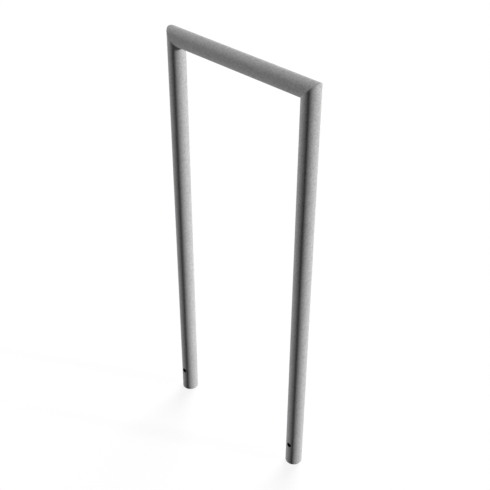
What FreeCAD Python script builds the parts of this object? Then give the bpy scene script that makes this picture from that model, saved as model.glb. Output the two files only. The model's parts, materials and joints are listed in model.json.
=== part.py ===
import FreeCAD, Part
import os
import Sketcher

# A hoop barrier of steel tube: two equal legs and a top rail, mitred at 45 degrees and butt welded.
# The legs are let into the ground, where a bar through the cross hole near each foot anchors them.
# X runs along the rail, Y through the hoop and Z up, from the foot plane midway between the legs.

# Driving sizes in millimetres: name, value, what it measures.
DRIVING_SIZES = (
    ("leg_spacing", "400", "centre of one leg to the centre of the other"),
    ("rail_height", "1050", "foot of the legs to the centre of the rail, buried root included"),
    ("tube_diameter", "42.4", "outside diameter of legs and rail"),
    ("tube_wall", "2.6", "wall of the tube"),
    ("weld_gap", "2", "room between the mitred ends, which the weld fills"),
    ("anchor_hole_diameter", "14", "cross hole that takes an anchor bar"),
    ("anchor_hole_height", "66", "foot of the leg to the centre of the cross hole"),
    ("foot_chamfer", "0.5", "broken edges of the sawn foot"),
)

# What follows from them.
OUTER_RADIUS = "(Sizes.tube_diameter / 2)"
BORE_RADIUS = "(Sizes.tube_diameter / 2 - Sizes.tube_wall)"
LEG_OFFSET = "(Sizes.leg_spacing / 2)"

# A mitred end stands back from the mitre plane by half the weld gap, which is this much along the tube.
MITRE_SETBACK = "(Sizes.weld_gap / sqrt(2))"

# The corner sawn off a tube is a right triangle that reaches past the tube by one weld gap on every side.
MITRE_REACH = "(Sizes.tube_diameter / 2 + Sizes.weld_gap)"

# A third of the wall is the most that either edge of the foot can lose.
FOOT_CHAMFER = "min(Sizes.foot_chamfer; Sizes.tube_wall / 3)"

# The legs, and the welds on them, are one piece made twice: the right one is the left one turned half round.
SIDES = (("left", -1, 0), ("right", 1, 180))
MITRE_ANGLE = 45

UP = FreeCAD.Vector(0, 0, 1)
THROUGH = FreeCAD.Vector(0, 1, 0)
TOLERANCE = 1e-6

# How a sketch numbers the ends of a line and the centre of a round, and its own origin.
START, END, CENTRE = range(1, 4)
ORIGIN = (-1, START)

# Every outline is first drawn about this large, and its bound dimensions then give it its real size.
DRAWN = 1

doc = FreeCAD.newDocument("hoop_barrier")
sheet = doc.addObject("Spreadsheet::Sheet", "Sizes")
for row, (alias, value, note) in enumerate(DRIVING_SIZES, start=1):
    sheet.set(f"A{row}", note)
    sheet.set(f"B{row}", value)
    sheet.setAlias(f"B{row}", alias)
doc.recompute()


def origin_plane(body, role):
    return next(item for item in body.Origin.OriginFeatures if item.Role == role)


def new_sketch(body, name, plane_role):
    sketch = body.newObject("Sketcher::SketchObject", f"{body.Name}_{name}")
    sketch.AttachmentSupport = [(origin_plane(body, plane_role), "")]
    sketch.MapMode = "FlatFace"
    return sketch


def bind(sketch, name, expression, constraint):
    """Add a dimension that follows an expression of the driving sizes."""
    index = sketch.addConstraint(constraint)
    sketch.renameConstraint(index, name)
    sketch.setExpression(f"Constraints.{name}", expression)


def add_circle(sketch, name, radius):
    circle = sketch.addGeometry(Part.Circle(FreeCAD.Vector(), UP, DRAWN))
    bind(sketch, f"{name}_radius", radius, Sketcher.Constraint("Radius", circle, DRAWN))
    return circle


def add_tube_section(sketch):
    for name, radius in (("outer", OUTER_RADIUS), ("bore", BORE_RADIUS)):
        circle = add_circle(sketch, name, radius)
        sketch.addConstraint(Sketcher.Constraint("Coincident", circle, CENTRE, *ORIGIN))


def add_mitre_triangle(sketch, corner_x, corner_y, sense):
    """A right triangle whose long side is the saw cut; the others leave its corner in the given sense."""
    corner = FreeCAD.Vector(DRAWN, DRAWN, 0)
    beside = corner + FreeCAD.Vector(sense * DRAWN, 0, 0)
    above = corner + FreeCAD.Vector(0, sense * DRAWN, 0)
    level, upright, saw_cut = sketch.addGeometry([
        Part.LineSegment(corner, beside),
        Part.LineSegment(corner, above),
        Part.LineSegment(beside, above),
    ])
    sketch.addConstraint(Sketcher.Constraint("Coincident", level, START, upright, START))
    sketch.addConstraint(Sketcher.Constraint("Coincident", level, END, saw_cut, START))
    sketch.addConstraint(Sketcher.Constraint("Coincident", upright, END, saw_cut, END))
    sketch.addConstraint(Sketcher.Constraint("Horizontal", level))
    sketch.addConstraint(Sketcher.Constraint("Vertical", upright))
    side = f"{sense} * 2 * {MITRE_REACH}"
    along_level = Sketcher.Constraint("DistanceX", level, START, level, END, sense * DRAWN)
    along_upright = Sketcher.Constraint("DistanceY", upright, START, upright, END, sense * DRAWN)
    bind(sketch, "level_side", side, along_level)
    bind(sketch, "upright_side", side, along_upright)
    bind(sketch, "corner_x", corner_x, Sketcher.Constraint("DistanceX", *ORIGIN, level, START, DRAWN))
    bind(sketch, "corner_y", corner_y, Sketcher.Constraint("DistanceY", *ORIGIN, level, START, DRAWN))


def add_mitre_ellipse(sketch, name, radius):
    """What the mitre plane makes of a circle of the tube: as wide, and longer by the root of two."""
    long_end = FreeCAD.Vector(2 * DRAWN, 0, 0)
    short_end = FreeCAD.Vector(0, DRAWN, 0)
    ellipse = sketch.addGeometry(Part.Ellipse(long_end, short_end, FreeCAD.Vector()))
    sketch.exposeInternalGeometry(ellipse)
    long_axis = ellipse + 1
    short_axis = ellipse + 2
    sketch.addConstraint(Sketcher.Constraint("Coincident", ellipse, CENTRE, *ORIGIN))
    sketch.addConstraint(Sketcher.Constraint("Horizontal", long_axis))
    length = Sketcher.Constraint("Distance", long_axis, 2 * long_end.Length)
    width = Sketcher.Constraint("Distance", short_axis, 2 * short_end.Length)
    bind(sketch, f"{name}_length", f"2 * {radius} * sqrt(2)", length)
    bind(sketch, f"{name}_width", f"2 * {radius}", width)


def pad(body, sketch, length, side_type):
    feature = body.newObject("PartDesign::Pad", f"{sketch.Name}_pad")
    feature.Profile = sketch
    feature.SideType = side_type
    feature.setExpression("Length", length)
    doc.recompute()
    return feature


def cut_through(body, sketch):
    """Cut both ways from the sketch, and make sure that metal was lost."""
    volume_before = body.Shape.Volume
    feature = body.newObject("PartDesign::Pocket", f"{sketch.Name}_cut")
    feature.Profile = sketch
    feature.Type = "ThroughAll"
    feature.SideType = "Symmetric"
    doc.recompute()
    if feature.Shape.Volume > volume_before - TOLERANCE:
        raise RuntimeError(f"{feature.Name} cuts nothing")
    return feature


def make_leg(label, side, turn):
    """Upright tube on its own axis: sawn square at the foot, mitred at the top towards the rail."""
    body = doc.addObject("PartDesign::Body", label)
    section = new_sketch(body, "section", "XY_Plane")
    add_tube_section(section)
    pad(body, section, f"Sizes.rail_height + {OUTER_RADIUS}", "One side")

    foot = body.newObject("PartDesign::Chamfer", f"{label}_foot")
    tube = foot.BaseFeature
    foot_edges = [
        f"Edge{number}"
        for number, edge in enumerate(tube.Shape.Edges, start=1)
        if edge.BoundBox.ZMax < TOLERANCE
    ]
    foot.Base = (tube, foot_edges)
    foot.setExpression("Size", FOOT_CHAMFER)
    doc.recompute()

    mitre = new_sketch(body, "mitre", "XZ_Plane")
    add_mitre_triangle(mitre, MITRE_REACH, f"Sizes.rail_height + {MITRE_REACH} - {MITRE_SETBACK}", -1)
    cut_through(body, mitre)

    anchor_hole = new_sketch(body, "anchor_hole", "XZ_Plane")
    circle = add_circle(anchor_hole, "hole", "Sizes.anchor_hole_diameter / 2")
    anchor_hole.addConstraint(Sketcher.Constraint("Vertical", *ORIGIN, circle, CENTRE))
    hole_height = Sketcher.Constraint("DistanceY", *ORIGIN, circle, CENTRE, DRAWN)
    bind(anchor_hole, "hole_height", "Sizes.anchor_hole_height", hole_height)
    cut_through(body, anchor_hole)

    body.Placement = FreeCAD.Placement(FreeCAD.Vector(), FreeCAD.Rotation(UP, turn))
    body.setExpression("Placement.Base.x", f"{side} * {LEG_OFFSET}")
    return body


def make_rail(label):
    """Level tube about its own middle, mitred downwards at both ends."""
    body = doc.addObject("PartDesign::Body", label)
    section = new_sketch(body, "section", "YZ_Plane")
    add_tube_section(section)
    pad(body, section, f"2 * ({LEG_OFFSET} + {OUTER_RADIUS})", "Symmetric")

    mitre = new_sketch(body, "mitre", "XZ_Plane")
    add_mitre_triangle(mitre, f"-({LEG_OFFSET} + {MITRE_REACH} - {MITRE_SETBACK})", f"-{MITRE_REACH}", 1)
    left_mitre = cut_through(body, mitre)

    both_mitres = body.newObject("PartDesign::Mirrored", f"{label}_both_mitres")
    both_mitres.Originals = [left_mitre]
    both_mitres.MirrorPlane = (origin_plane(body, "YZ_Plane"), [""])
    body.Tip = both_mitres

    body.setExpression("Placement.Base.z", "Sizes.rail_height")
    return body


def make_weld(label, side, turn):
    """Full penetration butt weld, dressed flush: the mitre's ring, run out along leg and rail."""
    body = doc.addObject("PartDesign::Body", label)
    ring = new_sketch(body, "ring", "XY_Plane")
    add_mitre_ellipse(ring, "outer", OUTER_RADIUS)
    add_mitre_ellipse(ring, "bore", BORE_RADIUS)
    doc.recompute()
    for half, normal_sense in (("leg_half", -1), ("rail_half", 1)):
        feature = pad(body, ring, "Sizes.weld_gap / 2", "One side")
        feature.Label = f"{label}_{half}"
        feature.UseCustomVector = True
        feature.Direction = FreeCAD.Vector(1, 0, normal_sense)
        feature.AlongSketchNormal = True

    tilt = FreeCAD.Rotation(THROUGH, MITRE_ANGLE)
    body.Placement = FreeCAD.Placement(FreeCAD.Vector(), FreeCAD.Rotation(UP, turn) * tilt)
    body.setExpression("Placement.Base.x", f"{side} * {LEG_OFFSET}")
    body.setExpression("Placement.Base.z", "Sizes.rail_height")
    return body


pieces = [make_rail("top_rail")]
for side_name, side, turn in SIDES:
    pieces.append(make_leg(f"{side_name}_leg", side, turn))
    pieces.append(make_weld(f"{side_name}_mitre_weld", side, turn))
doc.recompute()

for item in doc.Objects:
    if {"Invalid", "Error"} & set(item.State):
        raise RuntimeError(f"{item.Name} failed: {item.State}")
for piece in pieces:
    shape = piece.Shape
    if shape.isNull() or not shape.isValid() or len(shape.Solids) != 1:
        raise RuntimeError(f"{piece.Label} is not one sound solid")

os.makedirs("parts", exist_ok=True)
for piece in pieces:
    piece.Shape.exportStep(f"parts/{piece.Label}.step")
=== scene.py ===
import json
import math

import bmesh
import bpy
from mathutils import Matrix, Vector


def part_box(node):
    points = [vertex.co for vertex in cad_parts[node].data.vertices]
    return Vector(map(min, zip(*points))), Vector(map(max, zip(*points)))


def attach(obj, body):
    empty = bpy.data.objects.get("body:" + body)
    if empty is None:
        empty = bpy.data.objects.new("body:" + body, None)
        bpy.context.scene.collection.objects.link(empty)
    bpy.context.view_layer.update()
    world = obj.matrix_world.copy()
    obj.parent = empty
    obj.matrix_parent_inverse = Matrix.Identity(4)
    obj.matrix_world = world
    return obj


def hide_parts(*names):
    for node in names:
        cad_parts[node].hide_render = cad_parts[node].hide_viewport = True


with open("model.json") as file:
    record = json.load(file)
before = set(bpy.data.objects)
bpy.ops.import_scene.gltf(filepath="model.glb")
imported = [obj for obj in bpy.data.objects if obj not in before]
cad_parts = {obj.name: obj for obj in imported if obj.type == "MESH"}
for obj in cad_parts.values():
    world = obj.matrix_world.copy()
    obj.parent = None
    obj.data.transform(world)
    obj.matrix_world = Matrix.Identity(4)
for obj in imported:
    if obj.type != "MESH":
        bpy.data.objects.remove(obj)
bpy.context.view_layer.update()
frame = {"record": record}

# The two legs are lengths of round steel tube, sawn square at the foot and mitred at the top.
# Each is drilled across near the foot, so that a bar through it can anchor the leg in the ground.
# The edges of foot and hole are only broken with a file before the whole hoop is galvanised.
MM = 0.001
TUBE_WALL = 2.6 * MM
WELD_GAP = 2 * MM
FOOT_CHAMFER = 0.5 * MM
HOLE_RIM = 0.3 * MM

# Facets cut a little inside a round, so what is read from the frame is rounded to a tenth of a millimetre.
FRAME_DIGITS = 4
leg_low, leg_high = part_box("left_leg")
rail_low, rail_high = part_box("top_rail")
TUBE_RADIUS = round((leg_high.x - leg_low.x) / 2, FRAME_DIGITS)
BORE_RADIUS = TUBE_RADIUS - TUBE_WALL
LEG_OFFSET = -round((leg_high.x + leg_low.x) / 2, FRAME_DIGITS)
RAIL_HEIGHT = round((rail_high.z + rail_low.z) / 2, FRAME_DIGITS)
anchor_hole = next(mount for mount in frame["record"]["mounts"] if mount["name"] == "left_anchor_hole")
HOLE_RADIUS = anchor_hole["dims"]["r_mm"] * MM
HOLE_HEIGHT = anchor_hole["pos_m"][2]

# Each mitred end stands back from the mitre plane by half the weld gap, which is this much along the tube.
MITRE_SETBACK = WELD_GAP / math.sqrt(2)

# A tube's mesh has this many points round it, and a leg's plain stretch this many rows of faces.
ROUND_STEPS = 96
PLAIN_ROWS = 12

# An edge that turns by more than this is shaded sharp.
SHARP_EDGE = math.radians(35)

# Round a hole the mesh has a field of its own, with this many points to each side of the hole's middle.
# Rings at these shares of the way close the field towards the hole's lip, and more rings round the lip.
FIELD_STEPS = 8
FIELD_HALF_HEIGHT = 1.5 * HOLE_RADIUS
FIELD_SHARES = (0.25, 0.5, 0.75)
RIM_STEPS = 4

# The outside and the foot of a leg take its first material.
# The bore, the walls of the holes and the mitred end, which the weld hides, take its second: a dark
# painted shade.
INSIDE = 1


def tube_point(radius, step):
    """A point of the tube's circle, counted from its front, which is -Y, towards +X."""
    angle = 2 * math.pi * step / ROUND_STEPS
    return radius * math.sin(angle), -radius * math.cos(angle)


def join_rings(mesh, first, second):
    """Close the strip between two rings that have as many points."""
    count = len(first)
    for index in range(count):
        following = (index + 1) % count
        mesh.faces.new((first[index], first[following], second[following], second[index]))


def finish_piece(mesh, name):
    """Drop spare points, turn every face outwards and make the mesh an object."""
    spare = [point for point in mesh.verts if not point.link_faces]
    bmesh.ops.delete(mesh, geom=spare, context="VERTS")
    bmesh.ops.recalc_face_normals(mesh, faces=mesh.faces)
    data = bpy.data.meshes.new(name)
    mesh.to_mesh(data)
    mesh.free()
    data.shade_smooth()
    data.set_sharp_from_angle(angle=SHARP_EDGE)
    piece = bpy.data.objects.new(name, data)
    bpy.context.scene.collection.objects.link(piece)
    return piece


def field_loop(rings, middle):
    """The points round the field of a hole: along its foot, up one side, back along its head and down."""
    left = middle - FIELD_STEPS
    right = middle + FIELD_STEPS
    foot = [rings[0][step % ROUND_STEPS] for step in range(left, right)]
    rising = [ring[right % ROUND_STEPS] for ring in rings[:-1]]
    head = [rings[-1][step % ROUND_STEPS] for step in range(right, left, -1)]
    falling = [ring[left % ROUND_STEPS] for ring in reversed(rings[1:])]
    return foot + rising + head + falling


def hole_edge(mesh, loop, front, radius, inwards):
    """Close the field down to the hole's lip and round the lip. Returns the last ring, in the hole."""
    centre = Vector((0, HOLE_HEIGHT))
    flat_loop = [Vector((point.co.x, point.co.z)) for point in loop]
    directions = [(flat - centre).normalized() for flat in flat_loop]

    def wall_point(flat, depth):
        """A point given as it is seen from the front, and its depth below the face of the wall."""
        beside = math.sqrt(radius ** 2 - flat.x ** 2)
        return mesh.verts.new((flat.x, front * (beside - inwards * depth), flat.y))

    lip = HOLE_RADIUS + HOLE_RIM
    last = loop
    for share in FIELD_SHARES:
        ring = [
            wall_point(flat.lerp(centre + lip * direction, share), 0)
            for flat, direction in zip(flat_loop, directions)
        ]
        join_rings(mesh, last, ring)
        last = ring
    for step in range(RIM_STEPS + 1):
        turn = math.pi / 2 * step / RIM_STEPS
        reach = lip - HOLE_RIM * math.sin(turn)
        depth = HOLE_RIM * (1 - math.cos(turn))
        ring = [wall_point(centre + reach * direction, depth) for direction in directions]
        join_rings(mesh, last, ring)
        last = ring
    return last


def make_leg(name, side):
    """The left leg on its own axis, its mitre facing the rail; the right one is turned half round."""
    mesh = bmesh.new()

    def ring(radius, height, mitre=0):
        points = []
        for step in range(ROUND_STEPS):
            x, y = tube_point(radius, step)
            points.append(mesh.verts.new((x, y, height - mitre * x)))
        return points

    field_low = HOLE_HEIGHT - FIELD_HALF_HEIGHT
    field_rows = 2 * FIELD_STEPS
    field_heights = [
        field_low + 2 * FIELD_HALF_HEIGHT * row / field_rows
        for row in range(field_rows + 1)
    ]
    # The plain stretch ends a tube's radius below the lowest point of the mitre.
    mitre_height = RAIL_HEIGHT - MITRE_SETBACK
    plain_top = mitre_height - 2 * TUBE_RADIUS
    plain_step = (plain_top - field_heights[-1]) / PLAIN_ROWS
    plain_heights = [field_heights[-1] + plain_step * (row + 1) for row in range(PLAIN_ROWS)]

    walls = []
    edges = []
    back_middle = ROUND_STEPS // 2
    for radius, inwards in ((TUBE_RADIUS, 1), (BORE_RADIUS, -1)):
        foot = [ring(radius - inwards * FOOT_CHAMFER, 0), ring(radius, FOOT_CHAMFER)]
        field = [ring(radius, height) for height in field_heights]
        plain = [ring(radius, height) for height in plain_heights]
        head = ring(radius, mitre_height, mitre=1)
        below = foot + field[:1]
        above = field[-1:] + plain + [head]
        for rows in (below, above):
            for lower, upper in zip(rows, rows[1:]):
                join_rings(mesh, lower, upper)
        for lower, upper in zip(field, field[1:]):
            for step in range(FIELD_STEPS, back_middle - FIELD_STEPS):
                for first in (step, step + back_middle):
                    second = (first + 1) % ROUND_STEPS
                    mesh.faces.new((lower[first], lower[second], upper[second], upper[first]))
        for middle, front in ((0, -1), (back_middle, 1)):
            edges.append(hole_edge(mesh, field_loop(field, middle), front, radius, inwards))
        walls.append((foot[0], head))
    (outer_foot, outer_head), (inner_foot, inner_head) = walls
    outer_front, outer_back, inner_front, inner_back = edges
    join_rings(mesh, outer_foot, inner_foot)
    join_rings(mesh, outer_head, inner_head)
    join_rings(mesh, outer_front, inner_front)
    join_rings(mesh, outer_back, inner_back)

    for face in mesh.faces:
        middle = face.calc_center_median()
        if middle.xy.length < TUBE_RADIUS - HOLE_RIM and middle.z > FOOT_CHAMFER:
            face.material_index = INSIDE
    turn = Matrix.Rotation(math.pi if side > 0 else 0, 4, "Z")
    shift = Matrix.Translation((side * LEG_OFFSET, 0, 0))
    bmesh.ops.transform(mesh, matrix=shift @ turn, verts=mesh.verts)
    return finish_piece(mesh, name)


def to_linear(hex_colour):
    """An sRGB hex colour as the linear colour that a shader takes."""
    channels = [int(hex_colour[start:start + 2], 16) / 255 for start in (1, 3, 5)]
    linear = [
        value / 12.92 if value <= 0.04045 else ((value + 0.055) / 1.055) ** 2.4
        for value in channels
    ]
    return (*linear, 1)


def start_nodes(owner):
    """Give a material or a world an empty node tree."""
    owner.use_nodes = True
    owner.node_tree.nodes.clear()
    return owner


def add_node(owner, kind, settings, links):
    """Add a node, set its properties and sockets, and link each socket named to another node's output."""
    node = owner.node_tree.nodes.new(kind)
    sockets = {socket.identifier: socket for socket in node.inputs}
    for name, value in settings.items():
        if name in sockets:
            sockets[name].default_value = value
        else:
            setattr(node, name, value)
    for name, (source, output) in links.items():
        outputs = {socket.identifier: socket for socket in source.outputs}
        owner.node_tree.links.new(outputs[output], sockets[name])
    return node


# Hot-dip galvanised steel, some months old: the bright zinc has grown a dull skin of zinc carbonate.
# The skin scatters light as a matt grey stone does, so it isn't metallic, and its gloss is low and broad.
# Under it the zinc crystals, 2 to 3 mm across, still show as a fine mottle of lighter and darker grey.
SPANGLE_WIDTH = 2.5 * MM
GRAIN_WIDTH = 1.5 * MM
GRAIN_SHARE = 0.4
ZINC_DARK = "#868686"
ZINC_LIGHT = "#BCBCBC"
ZINC_METALLIC = 0.0
ZINC_SMOOTH = 0.68
ZINC_ROUGH = 0.82
ZINC_GLOSS = 0.3
SPANGLE_RELIEF = 0.03 * MM

zinc = start_nodes(bpy.data.materials.new("hot_dip_galvanised_steel"))
position = add_node(zinc, "ShaderNodeTexCoord", {}, {})
spangle = add_node(
    zinc,
    "ShaderNodeTexVoronoi",
    {"Scale": 1 / SPANGLE_WIDTH},
    {"Vector": (position, "Object")},
)
grain = add_node(
    zinc,
    "ShaderNodeTexNoise",
    {"Scale": 1 / GRAIN_WIDTH},
    {"Vector": (position, "Object")},
)
mottle = add_node(
    zinc,
    "ShaderNodeMix",
    {"Factor_Float": GRAIN_SHARE},
    {"A_Float": (spangle, "Color"), "B_Float": (grain, "Fac")},
)
tone = add_node(
    zinc,
    "ShaderNodeMix",
    {"data_type": "RGBA", "A_Color": to_linear(ZINC_DARK), "B_Color": to_linear(ZINC_LIGHT)},
    {"Factor_Float": (mottle, "Result_Float")},
)
dullness = add_node(
    zinc,
    "ShaderNodeMapRange",
    {"To Min": ZINC_ROUGH, "To Max": ZINC_SMOOTH},
    {"Value": (mottle, "Result_Float")},
)
relief = add_node(
    zinc,
    "ShaderNodeBump",
    {"Distance": SPANGLE_RELIEF},
    {"Height": (mottle, "Result_Float")},
)
surface = add_node(
    zinc,
    "ShaderNodeBsdfPrincipled",
    {"Metallic": ZINC_METALLIC, "Specular IOR Level": ZINC_GLOSS},
    {
        "Base Color": (tone, "Result_Color"),
        "Roughness": (dullness, "Result"),
        "Normal": (relief, "Normal"),
    },
)
add_node(zinc, "ShaderNodeOutputMaterial", {}, {"Surface": (surface, "BSDF")})

# Painted shade for the inside of the tube: a dark grey, rough material with hardly any gloss, mottled in
# patches about 2 mm across.
# It darkens the bore and the walls of the holes, where shade falls, so that the holes look dark.
BORE_MOTTLE_WIDTH = 2 * MM
BORE_SHADE_DARK = "#404040"
BORE_SHADE_LIGHT = "#606060"
BORE_SHADE_ROUGH = 0.95
BORE_SHADE_GLOSS = 0.1
BORE_RELIEF = 0.2 * MM

bore_shade = start_nodes(bpy.data.materials.new("painted_bore_shade"))
bore_shade_position = add_node(bore_shade, "ShaderNodeTexCoord", {}, {})
bore_mottle = add_node(
    bore_shade,
    "ShaderNodeTexNoise",
    {"Scale": 1 / BORE_MOTTLE_WIDTH},
    {"Vector": (bore_shade_position, "Object")},
)
bore_shade_tone = add_node(
    bore_shade,
    "ShaderNodeMix",
    {"data_type": "RGBA", "A_Color": to_linear(BORE_SHADE_DARK), "B_Color": to_linear(BORE_SHADE_LIGHT)},
    {"Factor_Float": (bore_mottle, "Fac")},
)
bore_relief = add_node(
    bore_shade,
    "ShaderNodeBump",
    {"Distance": BORE_RELIEF},
    {"Height": (bore_mottle, "Fac")},
)
bore_shade_surface = add_node(
    bore_shade,
    "ShaderNodeBsdfPrincipled",
    {"Roughness": BORE_SHADE_ROUGH, "Specular IOR Level": BORE_SHADE_GLOSS},
    {"Base Color": (bore_shade_tone, "Result_Color"), "Normal": (bore_relief, "Normal")},
)
add_node(bore_shade, "ShaderNodeOutputMaterial", {}, {"Surface": (bore_shade_surface, "BSDF")})

for node_name, side in (("left_leg", -1), ("right_leg", 1)):
    leg = make_leg(f"{node_name}_tube", side)
    leg.data.materials.append(zinc)
    # The second slot takes the painted shade of the bore and the holes.
    leg.data.materials.append(bore_shade)
    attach(leg, "root")
    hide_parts(node_name)

# The rail is one more length of the same steel tube, which joins the legs at the top.
# It is sawn to a mitre at both ends, so that leg and rail meet on the same oval.

# The radius and side of each ring of its mesh, which runs outside from left to right and back in the bore.
RAIL_ENDS = ((TUBE_RADIUS, -1), (TUBE_RADIUS, 1), (BORE_RADIUS, 1), (BORE_RADIUS, -1))


def mitre_ring(mesh, radius, side, along, below):
    """A ring on a corner's mitre plane, moved from there along the rail and down the leg."""
    points = []
    for step in range(ROUND_STEPS):
        drop, y = tube_point(radius, step)
        x = side * (LEG_OFFSET - drop - along)
        points.append(mesh.verts.new((x, y, RAIL_HEIGHT - drop - below)))
    return points


def join_all_round(mesh, rings):
    """Join each ring to the next one, and the last to the first."""
    for first, second in zip(rings, rings[1:] + rings[:1]):
        join_rings(mesh, first, second)


rail_mesh = bmesh.new()
rail_rings = [mitre_ring(rail_mesh, radius, side, MITRE_SETBACK, 0) for radius, side in RAIL_ENDS]
join_all_round(rail_mesh, rail_rings)
rail = finish_piece(rail_mesh, "top_rail_tube")
rail.data.materials.append(zinc)
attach(rail, "root")
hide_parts("top_rail")

# The mitre welds fill the gap between leg and rail right through the wall of the tube.
# They are ground flush before the zinc bath, which leaves the corner a hair softer than a sawn one.
# A sharpness of 1 would be a straight bevel across the corner.
WELD_STEPS = 8
CORNER_SHARPNESS = 4


def make_weld(name, side):
    """A ring of weld that runs outside from the leg's end to the rail's, and back in the bore."""
    mesh = bmesh.new()
    shares = [step / WELD_STEPS for step in range(WELD_STEPS + 1)]
    there = [(TUBE_RADIUS, share) for share in shares]
    back = [(BORE_RADIUS, share) for share in reversed(shares)]
    rings = []
    for radius, share in there + back:
        along = MITRE_SETBACK * share ** CORNER_SHARPNESS
        below = MITRE_SETBACK * (1 - share) ** CORNER_SHARPNESS
        rings.append(mitre_ring(mesh, radius, side, along, below))
    join_all_round(mesh, rings)
    return finish_piece(mesh, name)


for node_name, side in (("left_mitre_weld", -1), ("right_mitre_weld", 1)):
    weld = make_weld(f"{node_name}_bead", side)
    weld.data.materials.append(zinc)
    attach(weld, "root")
    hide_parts(node_name)

# The stage is a floor of white studio paper under a white surround.
# Both are white to the eye and in reflections, but give off no light of their own on the hoop.
FLOOR_RADIUS = 8.0
FLOOR_GREY = "#6C6C6C"
FLOOR_GLOW = 0.87
SURROUND_WHITE = "#FFFFFF"


def seen_directly(owner):
    """A node that gives 1 where the eye, a reflection or glass looks, and 0 for light on other things."""
    path = add_node(owner, "ShaderNodeLightPath", {}, {})
    mirrored = add_node(
        owner,
        "ShaderNodeMath",
        {"operation": "MAXIMUM"},
        {"Value": (path, "Is Glossy Ray"), "Value_001": (path, "Is Transmission Ray")},
    )
    return add_node(
        owner,
        "ShaderNodeMath",
        {"operation": "MAXIMUM"},
        {"Value": (path, "Is Camera Ray"), "Value_001": (mirrored, "Value")},
    )


bpy.ops.mesh.primitive_circle_add(vertices=ROUND_STEPS, radius=FLOOR_RADIUS, fill_type="NGON")
floor = bpy.context.object
floor.name = "floor"
paper = start_nodes(bpy.data.materials.new("matt_white_paper"))
paper_glow = add_node(
    paper,
    "ShaderNodeMath",
    {"operation": "MULTIPLY", "Value_001": FLOOR_GLOW},
    {"Value": (seen_directly(paper), "Value")},
)
paper_white = add_node(paper, "ShaderNodeEmission", {}, {"Strength": (paper_glow, "Value")})
paper_shade = add_node(paper, "ShaderNodeBsdfDiffuse", {"Color": to_linear(FLOOR_GREY)}, {})
paper_both = add_node(
    paper,
    "ShaderNodeAddShader",
    {},
    {"Shader": (paper_white, "Emission"), "Shader_001": (paper_shade, "BSDF")},
)
add_node(paper, "ShaderNodeOutputMaterial", {}, {"Surface": (paper_both, "Shader")})
floor.data.materials.append(paper)

surround = start_nodes(bpy.data.worlds.new("surround"))
surround_glow = add_node(
    surround,
    "ShaderNodeBackground",
    {"Color": to_linear(SURROUND_WHITE)},
    {"Strength": (seen_directly(surround), "Value")},
)
add_node(surround, "ShaderNodeOutputWorld", {}, {"Surface": (surround_glow, "Background")})
bpy.context.scene.world = surround

# Two low side lamps model the round of the tubes, and one behind and above lights the top of the rail.
# Each row gives name, strength, width, bearing from +X towards +Y and height, with angles in degrees.
LAMPS = (
    ("right_lamp", 4.8, 5, 30.3, 5.5),
    ("left_lamp", 2.2, 8, 204, 3.5),
    ("top_lamp", 2.7, 25, 112, 60),
)
for lamp_name, strength, width, bearing, height in LAMPS:
    lamp_data = bpy.data.lights.new(lamp_name, "SUN")
    lamp_data.energy = strength
    lamp_data.angle = math.radians(width)
    lamp = bpy.data.objects.new(lamp_name, lamp_data)
    lamp.rotation_euler = (math.radians(90 - height), 0, math.radians(90 + bearing))
    bpy.context.scene.collection.objects.link(lamp)

# A narrow strip lamp lies on the floor between the legs and faces straight up.
# Its light spreads little, so it reaches the underside of the rail and leaves the legs dark.
STRIP_LENGTH = 0.3
STRIP_WIDTH = 0.06
STRIP_HEIGHT = 1 * MM
STRIP_SPREAD = math.radians(40)
STRIP_POWER = 0.13
strip_data = bpy.data.lights.new("floor_strip", "AREA")
strip_data.shape = "RECTANGLE"
strip_data.size = STRIP_LENGTH
strip_data.size_y = STRIP_WIDTH
strip_data.spread = STRIP_SPREAD
strip_data.energy = STRIP_POWER
strip = bpy.data.objects.new("floor_strip", strip_data)
strip.location = (0, 0, STRIP_HEIGHT)
strip.rotation_euler = (math.pi, 0, 0)
strip.visible_camera = False
bpy.context.scene.collection.objects.link(strip)

# The camera looks down on the hoop from the right, close to the isometric angle.
# It aims at the plane of the hoop, a little above its middle, and is tilted by a hair.
SENSOR_WIDTH = 36
VIEW_ANGLE = math.radians(30.33)
CAMERA_AIM = (0.0178, 0, 0.5921)
CAMERA_DISTANCE = 2.147
CAMERA_BEARING = math.radians(44.58)
CAMERA_ELEVATION = math.radians(34.46)
CAMERA_TILT = math.radians(0.23)
camera_data = bpy.data.cameras.new("camera")
camera_data.sensor_width = SENSOR_WIDTH
camera_data.lens = SENSOR_WIDTH / 2 / math.tan(VIEW_ANGLE / 2)
camera = bpy.data.objects.new("camera", camera_data)
camera.matrix_world = (
    Matrix.Translation(CAMERA_AIM)
    @ Matrix.Rotation(CAMERA_BEARING, 4, "Z")
    @ Matrix.Rotation(math.pi / 2 - CAMERA_ELEVATION, 4, "X")
    @ Matrix.Rotation(CAMERA_TILT, 4, "Z")
    @ Matrix.Translation((0, 0, CAMERA_DISTANCE))
)
bpy.context.scene.collection.objects.link(camera)
bpy.context.scene.camera = camera
bpy.context.scene.view_settings.view_transform = "Standard"
